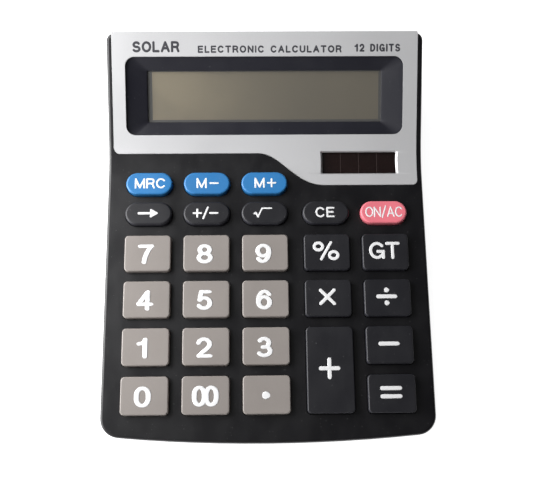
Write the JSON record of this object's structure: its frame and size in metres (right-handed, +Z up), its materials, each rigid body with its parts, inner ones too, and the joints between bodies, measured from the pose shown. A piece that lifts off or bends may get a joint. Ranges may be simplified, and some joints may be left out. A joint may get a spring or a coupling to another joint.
{
  "type": "desk calculator",
  "caption": "Wedge-shaped desk calculator with a tilted display head, solar window, sprung keys in two shapes, silver fascia and a sliding battery door.",
  "frame": {"origin": "centre of the overall box on the plane the feet rest on", "axes": "+Z up, +Y from the front edge to the display head, +X to the right as seen by the user"},
  "size_m": [0.15, 0.189, 0.0476],
  "materials": {
    "case_black": "satin moulded ABS with a fine grain",
    "fascia_silver": "silver lacquer, satin",
    "bezel_black": "satin",
    "clear_lens": "clear polished sheet",
    "lcd": "polariser over liquid crystal glass",
    "reflector": "satin film",
    "holder_grey": "moulded",
    "ribbon": "film with printed tracks",
    "solar": "amorphous cells under glass",
    "lead_red": "insulated wire",
    "mat_rubber": "silicone",
    "board": "paper laminate with solder mask",
    "chip": "potting resin",
    "capacitor": "sleeved can",
    "screw_steel": "zinc plated",
    "battery": "printed sleeve",
    "contact": "nickel plated",
    "lead_black": "insulated wire",
    "foot_rubber": "matt",
    "key_grey": "satin",
    "key_black": "satin",
    "key_blue": "satin",
    "key_pink": "satin"
  },
  "bodies": {
    "case": {"upper_case": "case_black", "lower_case": "case_black", "fascia_plate": "fascia_silver", "display_bezel": "bezel_black", "display_lens": "clear_lens", "lcd_cell": "lcd", "lcd_reflector": "reflector", "lcd_holder": "holder_grey", "lcd_ribbon": "ribbon", "solar_window": "clear_lens", "solar_panel": "solar", "solar_leads": "lead_red", "key_mat": "mat_rubber", "keypad_board": "board", "controller_chip": "chip", "capacitors": "capacitor", "board_screws": "screw_steel", "case_screws": "screw_steel", "battery": "battery", "battery_plus_contact": "contact", "battery_minus_contact": "contact", "battery_leads": "lead_black", "foot_front_left": "foot_rubber", "foot_front_right": "foot_rubber", "foot_rear_left": "foot_rubber", "foot_rear_right": "foot_rubber"},
    "battery_door": {"battery_door": "case_black"},
    "key_0": {"key_0": "key_grey"},
    "key_00": {"key_00": "key_grey"},
    "key_point": {"key_point": "key_grey"},
    "key_1": {"key_1": "key_grey"},
    "key_2": {"key_2": "key_grey"},
    "key_3": {"key_3": "key_grey"},
    "key_4": {"key_4": "key_grey"},
    "key_5": {"key_5": "key_grey"},
    "key_6": {"key_6": "key_grey"},
    "key_7": {"key_7": "key_grey"},
    "key_8": {"key_8": "key_grey"},
    "key_9": {"key_9": "key_grey"},
    "key_plus": {"key_plus": "key_black"},
    "key_equals": {"key_equals": "key_black"},
    "key_minus": {"key_minus": "key_black"},
    "key_multiply": {"key_multiply": "key_black"},
    "key_divide": {"key_divide": "key_black"},
    "key_percent": {"key_percent": "key_black"},
    "key_grand_total": {"key_grand_total": "key_black"},
    "key_backspace": {"key_backspace": "key_black"},
    "key_sign": {"key_sign": "key_black"},
    "key_root": {"key_root": "key_black"},
    "key_clear_entry": {"key_clear_entry": "key_black"},
    "key_memory_recall": {"key_memory_recall": "key_blue"},
    "key_memory_minus": {"key_memory_minus": "key_blue"},
    "key_memory_plus": {"key_memory_plus": "key_blue"},
    "key_on_clear": {"key_on_clear": "key_pink"}
  },
  "joints": [
    {"name": "key_0_press", "type": "slide", "parent": "case", "child": "key_0", "axis": [0, 0.0698, -0.9976], "range_m": [0, 0.0015], "stiffness_N_per_m": 400, "springref_m": -0.0003, "deforming": ["key_mat"]},
    {"name": "key_00_press", "type": "slide", "parent": "case", "child": "key_00", "axis": [0, 0.0698, -0.9976], "range_m": [0, 0.0015], "stiffness_N_per_m": 400, "springref_m": -0.0003, "deforming": ["key_mat"]},
    {"name": "key_point_press", "type": "slide", "parent": "case", "child": "key_point", "axis": [0, 0.0698, -0.9976], "range_m": [0, 0.0015], "stiffness_N_per_m": 400, "springref_m": -0.0003, "deforming": ["key_mat"]},
    {"name": "key_1_press", "type": "slide", "parent": "case", "child": "key_1", "axis": [0, 0.0698, -0.9976], "range_m": [0, 0.0015], "stiffness_N_per_m": 400, "springref_m": -0.0003, "deforming": ["key_mat"]},
    {"name": "key_2_press", "type": "slide", "parent": "case", "child": "key_2", "axis": [0, 0.0698, -0.9976], "range_m": [0, 0.0015], "stiffness_N_per_m": 400, "springref_m": -0.0003, "deforming": ["key_mat"]},
    {"name": "key_3_press", "type": "slide", "parent": "case", "child": "key_3", "axis": [0, 0.0698, -0.9976], "range_m": [0, 0.0015], "stiffness_N_per_m": 400, "springref_m": -0.0003, "deforming": ["key_mat"]},
    {"name": "key_4_press", "type": "slide", "parent": "case", "child": "key_4", "axis": [0, 0.0698, -0.9976], "range_m": [0, 0.0015], "stiffness_N_per_m": 400, "springref_m": -0.0003, "deforming": ["key_mat"]},
    {"name": "key_5_press", "type": "slide", "parent": "case", "child": "key_5", "axis": [0, 0.0698, -0.9976], "range_m": [0, 0.0015], "stiffness_N_per_m": 400, "springref_m": -0.0003, "deforming": ["key_mat"]},
    {"name": "key_6_press", "type": "slide", "parent": "case", "child": "key_6", "axis": [0, 0.0698, -0.9976], "range_m": [0, 0.0015], "stiffness_N_per_m": 400, "springref_m": -0.0003, "deforming": ["key_mat"]},
    {"name": "key_7_press", "type": "slide", "parent": "case", "child": "key_7", "axis": [0, 0.0698, -0.9976], "range_m": [0, 0.0015], "stiffness_N_per_m": 400, "springref_m": -0.0003, "deforming": ["key_mat"]},
    {"name": "key_8_press", "type": "slide", "parent": "case", "child": "key_8", "axis": [0, 0.0698, -0.9976], "range_m": [0, 0.0015], "stiffness_N_per_m": 400, "springref_m": -0.0003, "deforming": ["key_mat"]},
    {"name": "key_9_press", "type": "slide", "parent": "case", "child": "key_9", "axis": [0, 0.0698, -0.9976], "range_m": [0, 0.0015], "stiffness_N_per_m": 400, "springref_m": -0.0003, "deforming": ["key_mat"]},
    {"name": "key_plus_press", "type": "slide", "parent": "case", "child": "key_plus", "axis": [0, 0.0698, -0.9976], "range_m": [0, 0.0015], "stiffness_N_per_m": 400, "springref_m": -0.0003, "deforming": ["key_mat"]},
    {"name": "key_equals_press", "type": "slide", "parent": "case", "child": "key_equals", "axis": [0, 0.0698, -0.9976], "range_m": [0, 0.0015], "stiffness_N_per_m": 400, "springref_m": -0.0003, "deforming": ["key_mat"]},
    {"name": "key_minus_press", "type": "slide", "parent": "case", "child": "key_minus", "axis": [0, 0.0698, -0.9976], "range_m": [0, 0.0015], "stiffness_N_per_m": 400, "springref_m": -0.0003, "deforming": ["key_mat"]},
    {"name": "key_multiply_press", "type": "slide", "parent": "case", "child": "key_multiply", "axis": [0, 0.0698, -0.9976], "range_m": [0, 0.0015], "stiffness_N_per_m": 400, "springref_m": -0.0003, "deforming": ["key_mat"]},
    {"name": "key_divide_press", "type": "slide", "parent": "case", "child": "key_divide", "axis": [0, 0.0698, -0.9976], "range_m": [0, 0.0015], "stiffness_N_per_m": 400, "springref_m": -0.0003, "deforming": ["key_mat"]},
    {"name": "key_percent_press", "type": "slide", "parent": "case", "child": "key_percent", "axis": [0, 0.0698, -0.9976], "range_m": [0, 0.0015], "stiffness_N_per_m": 400, "springref_m": -0.0003, "deforming": ["key_mat"]},
    {"name": "key_grand_total_press", "type": "slide", "parent": "case", "child": "key_grand_total", "axis": [0, 0.0698, -0.9976], "range_m": [0, 0.0015], "stiffness_N_per_m": 400, "springref_m": -0.0003, "deforming": ["key_mat"]},
    {"name": "key_backspace_press", "type": "slide", "parent": "case", "child": "key_backspace", "axis": [0, 0.0698, -0.9976], "range_m": [0, 0.0015], "stiffness_N_per_m": 400, "springref_m": -0.0003, "deforming": ["key_mat"]},
    {"name": "key_sign_press", "type": "slide", "parent": "case", "child": "key_sign", "axis": [0, 0.0698, -0.9976], "range_m": [0, 0.0015], "stiffness_N_per_m": 400, "springref_m": -0.0003, "deforming": ["key_mat"]},
    {"name": "key_root_press", "type": "slide", "parent": "case", "child": "key_root", "axis": [0, 0.0698, -0.9976], "range_m": [0, 0.0015], "stiffness_N_per_m": 400, "springref_m": -0.0003, "deforming": ["key_mat"]},
    {"name": "key_clear_entry_press", "type": "slide", "parent": "case", "child": "key_clear_entry", "axis": [0, 0.0698, -0.9976], "range_m": [0, 0.0015], "stiffness_N_per_m": 400, "springref_m": -0.0003, "deforming": ["key_mat"]},
    {"name": "key_memory_recall_press", "type": "slide", "parent": "case", "child": "key_memory_recall", "axis": [0, 0.0698, -0.9976], "range_m": [0, 0.0015], "stiffness_N_per_m": 400, "springref_m": -0.0003, "deforming": ["key_mat"]},
    {"name": "key_memory_minus_press", "type": "slide", "parent": "case", "child": "key_memory_minus", "axis": [0, 0.0698, -0.9976], "range_m": [0, 0.0015], "stiffness_N_per_m": 400, "springref_m": -0.0003, "deforming": ["key_mat"]},
    {"name": "key_memory_plus_press", "type": "slide", "parent": "case", "child": "key_memory_plus", "axis": [0, 0.0698, -0.9976], "range_m": [0, 0.0015], "stiffness_N_per_m": 400, "springref_m": -0.0003, "deforming": ["key_mat"]},
    {"name": "key_on_clear_press", "type": "slide", "parent": "case", "child": "key_on_clear", "axis": [0, 0.0698, -0.9976], "range_m": [0, 0.0015], "stiffness_N_per_m": 400, "springref_m": -0.0003, "deforming": ["key_mat"]},
    {"name": "battery_door_slide", "type": "slide", "parent": "case", "child": "battery_door", "axis": [0, 1, 0], "range_m": [0, 0.03]}
  ]
}
